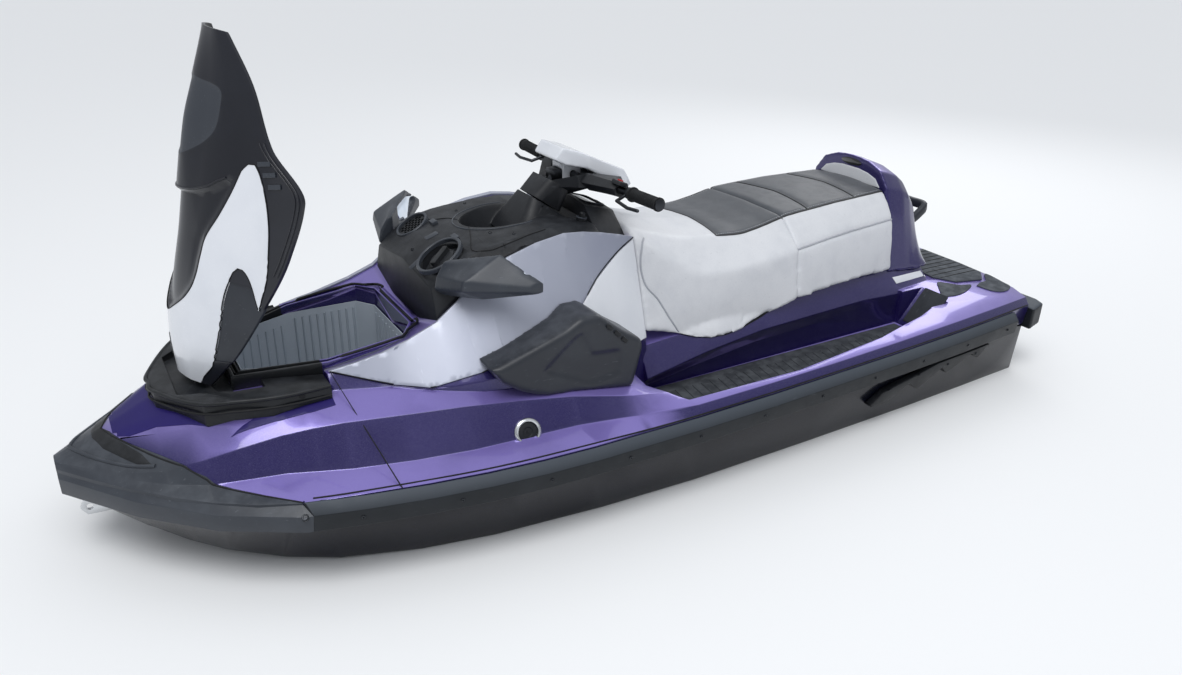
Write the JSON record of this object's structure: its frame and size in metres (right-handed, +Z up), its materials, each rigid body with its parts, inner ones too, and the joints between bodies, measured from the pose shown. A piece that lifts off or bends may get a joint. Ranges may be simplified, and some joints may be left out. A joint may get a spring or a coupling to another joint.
{
  "type": "personal watercraft",
  "caption": "Sit-astride personal watercraft with a faceted two-tone hull and deck, stepped seat, hinged hood, handlebar steering and a stern jet pump.",
  "frame": {"origin": "on the centre plane, amidships, at the level of calm water", "axes": "+X to the bow, +Y to port, +Z up"},
  "size_m": [3.291, 1.264, 1.4782],
  "materials": {
    "hull": "gloss",
    "deck": "gloss metallic",
    "engine_block": "cast",
    "bow_cap": "satin",
    "rub_rails": "satin",
    "stern_caps": "satin",
    "side_panel_port": "silver gloss",
    "side_panel_starboard": "silver gloss",
    "knee_panels": "gloss",
    "side_pods": "satin",
    "storage_bin": "satin",
    "storage_rim": "gloss",
    "hood_cowl": "satin",
    "console": "satin",
    "vent_grille": "satin",
    "fuel_cap": "satin",
    "mirror_housings": "satin",
    "mirror_glasses": "mirror",
    "glove_lid": "satin",
    "display": "gloss",
    "seat_front": "grained",
    "seat_rear": "grained",
    "seat_hump": "gloss",
    "grab_handle": "satin",
    "footwell_mats": "satin",
    "platform_mats": "satin",
    "pump_housing": "cast",
    "ride_plate": "cast",
    "intake_grate": "satin",
    "sponsons": "satin",
    "bow_eye": "polished",
    "tow_eye": "polished",
    "hood_arms": "satin",
    "hood_shell": "satin",
    "hood_panel": "gloss",
    "hood_inserts": "satin",
    "handlebar": "brushed",
    "steering_neck": "satin",
    "handlebar_cover": "gloss",
    "bar_shells": "satin",
    "grips": "satin",
    "hand_levers": "satin",
    "impeller": "brushed",
    "steering_nozzle": "cast",
    "reverse_bucket": "satin"
  },
  "bodies": {
    "craft": {"hull": "hull", "deck": "deck", "engine_block": "engine_block", "bow_cap": "bow_cap", "rub_rails": "rub_rails", "stern_caps": "stern_caps", "side_panel_port": "side_panel_port", "side_panel_starboard": "side_panel_starboard", "knee_panels": "knee_panels", "side_pods": "side_pods", "storage_bin": "storage_bin", "storage_rim": "storage_rim", "hood_cowl": "hood_cowl", "console": "console", "vent_grille": "vent_grille", "fuel_cap": "fuel_cap", "mirror_housings": "mirror_housings", "mirror_glasses": "mirror_glasses", "glove_lid": "glove_lid", "display": "display", "seat_front": "seat_front", "seat_rear": "seat_rear", "seat_hump": "seat_hump", "grab_handle": "grab_handle", "footwell_mats": "footwell_mats", "platform_mats": "platform_mats", "pump_housing": "pump_housing", "ride_plate": "ride_plate", "intake_grate": "intake_grate", "sponsons": "sponsons", "bow_eye": "bow_eye", "tow_eye": "tow_eye"},
    "hood": {"hood_arms": "hood_arms", "hood_shell": "hood_shell", "hood_panel": "hood_panel", "hood_inserts": "hood_inserts"},
    "handlebars": {"handlebar": "handlebar", "steering_neck": "steering_neck", "handlebar_cover": "handlebar_cover", "bar_shells": "bar_shells", "grips": "grips", "hand_levers": "hand_levers"},
    "impeller_shaft": {"impeller": "impeller"},
    "nozzle": {"steering_nozzle": "steering_nozzle"},
    "bucket": {"reverse_bucket": "reverse_bucket"}
  },
  "joints": [
    {"name": "hood_hinge", "type": "hinge", "parent": "craft", "child": "hood", "pos_m": [1.286, 0, 0.514], "axis": [0, -1, 0], "range_deg": [0, 54]},
    {"name": "steering", "type": "hinge", "parent": "craft", "child": "handlebars", "pos_m": [0.25, 0, 0.765], "axis": [-0.5736, 0, 0.8192], "range_deg": [-22, 22]},
    {"name": "nozzle_steer", "type": "hinge", "parent": "craft", "child": "nozzle", "pos_m": [-1.5, 0, -0.042], "axis": [0, 0, 1], "range_deg": [-19, 19]},
    {"name": "bucket_hinge", "type": "hinge", "parent": "craft", "child": "bucket", "pos_m": [-1.5, 0, -0.042], "axis": [0, 1, 0], "range_deg": [-60, 0]},
    {"name": "impeller_spin", "type": "hinge", "parent": "craft", "child": "impeller_shaft", "pos_m": [-1.28, 0, -0.042], "axis": [1, 0, 0], "continuous": true}
  ],
  "couplings": [
    {"joint": "nozzle_steer", "follows": "steering", "ratio": -0.8}
  ]
}
